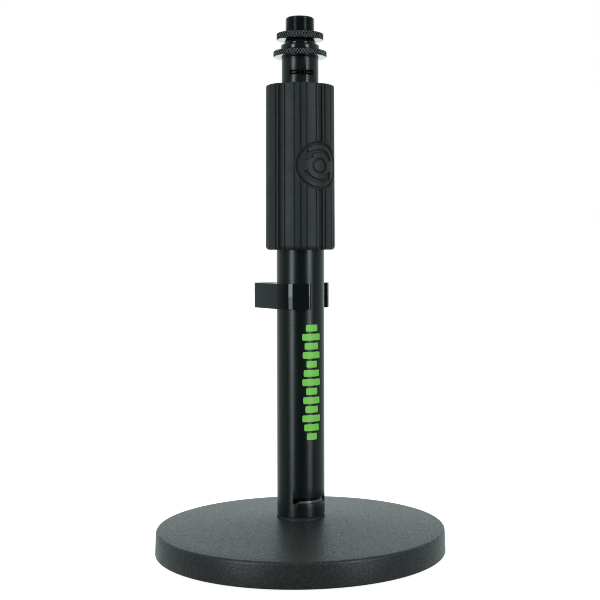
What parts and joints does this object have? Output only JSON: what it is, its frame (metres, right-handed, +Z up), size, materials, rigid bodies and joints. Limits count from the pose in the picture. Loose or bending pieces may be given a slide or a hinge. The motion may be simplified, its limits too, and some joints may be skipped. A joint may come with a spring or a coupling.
{
  "type": "desktop microphone stand",
  "caption": "Height-adjustable desktop microphone stand with a heavy round base, twist-off tube, twist-clutch grip, cable clip and threaded top with a knurled lock ring.",
  "frame": {"origin": "centre of the table plane under the feet, on the axis of the tubes", "axes": "+Z up along the tubes, -Y the front, +X the viewer's right"},
  "size_m": [0.1572, 0.1572, 0.291],
  "materials": {
    "base_powder_coat": "fine-textured matt black powder coat",
    "tube_paint": "smooth semi-gloss black paint",
    "black_oxide": "black plated, machined and knurled",
    "grip_rubber": "matt moulded black rubber",
    "clip_plastic": "glossy black plastic",
    "nut_plastic": "matt black moulded plastic",
    "nylon": "natural nylon",
    "foot_rubber": "soft black rubber",
    "plated_steel": "bright zinc plate",
    "machined_steel": "dark machined steel",
    "print_green": "green screen print on the lower tube"
  },
  "bodies": {
    "base": {"base_plate": "base_powder_coat", "rubber_feet": "foot_rubber", "base_bolt": "plated_steel", "lock_washer": "plated_steel", "flat_washer": "plated_steel", "base_spigot": "machined_steel", "bayonet_pin": "plated_steel", "base_gasket": "foot_rubber"},
    "lower_tube": {"lower_tube": "tube_paint", "clutch_body": "nylon"},
    "cable_clip": {"cable_clip": "clip_plastic"},
    "clutch_collet": {"collet": "nylon"},
    "grip": {"clutch_nut": "nut_plastic", "thrust_washer": "nylon", "grip_sleeve": "grip_rubber"},
    "guide_bush": {"guide_bush": "nylon"},
    "upper_tube": {"upper_tube": "tube_paint", "retaining_rings": "plated_steel", "knurled_flange": "black_oxide", "thread_stud": "black_oxide", "stud_set_screw": "black_oxide"},
    "lock_ring": {"lock_ring": "black_oxide"}
  },
  "joints": [
    {"name": "bayonet_twist", "type": "hinge", "parent": "base", "child": "lower_tube", "pos_m": [0, 0, 0.0297], "axis": [0, 0, 1], "range_deg": [-92, 0]},
    {"name": "clip_slide", "type": "slide", "parent": "lower_tube", "child": "cable_clip", "axis": [0, 0, 1], "range_m": [-0.1, 0.018]},
    {"name": "clutch_lift", "type": "slide", "parent": "lower_tube", "child": "clutch_collet", "axis": [0, 0, 1], "range_m": [0, 0.001]},
    {"name": "clutch_twist", "type": "hinge", "parent": "clutch_collet", "child": "grip", "pos_m": [0, 0, 0.235], "axis": [0, 0, 1], "range_deg": [0, 180]},
    {"name": "height_slide", "type": "slide", "parent": "lower_tube", "child": "guide_bush", "axis": [0, 0, 1], "range_m": [-0.014, 0.105]},
    {"name": "mast_turn", "type": "hinge", "parent": "guide_bush", "child": "upper_tube", "pos_m": [0, 0, 0.07], "axis": [0, 0, 1], "continuous": true},
    {"name": "lock_ring_turn", "type": "hinge", "parent": "upper_tube", "child": "lock_ring", "pos_m": [0, 0, 0.2803], "axis": [0, 0, 1], "continuous": true}
  ],
  "couplings": [
    {"joint": "clutch_lift", "follows": "clutch_twist", "m_per_rad": 0.00031831}
  ]
}
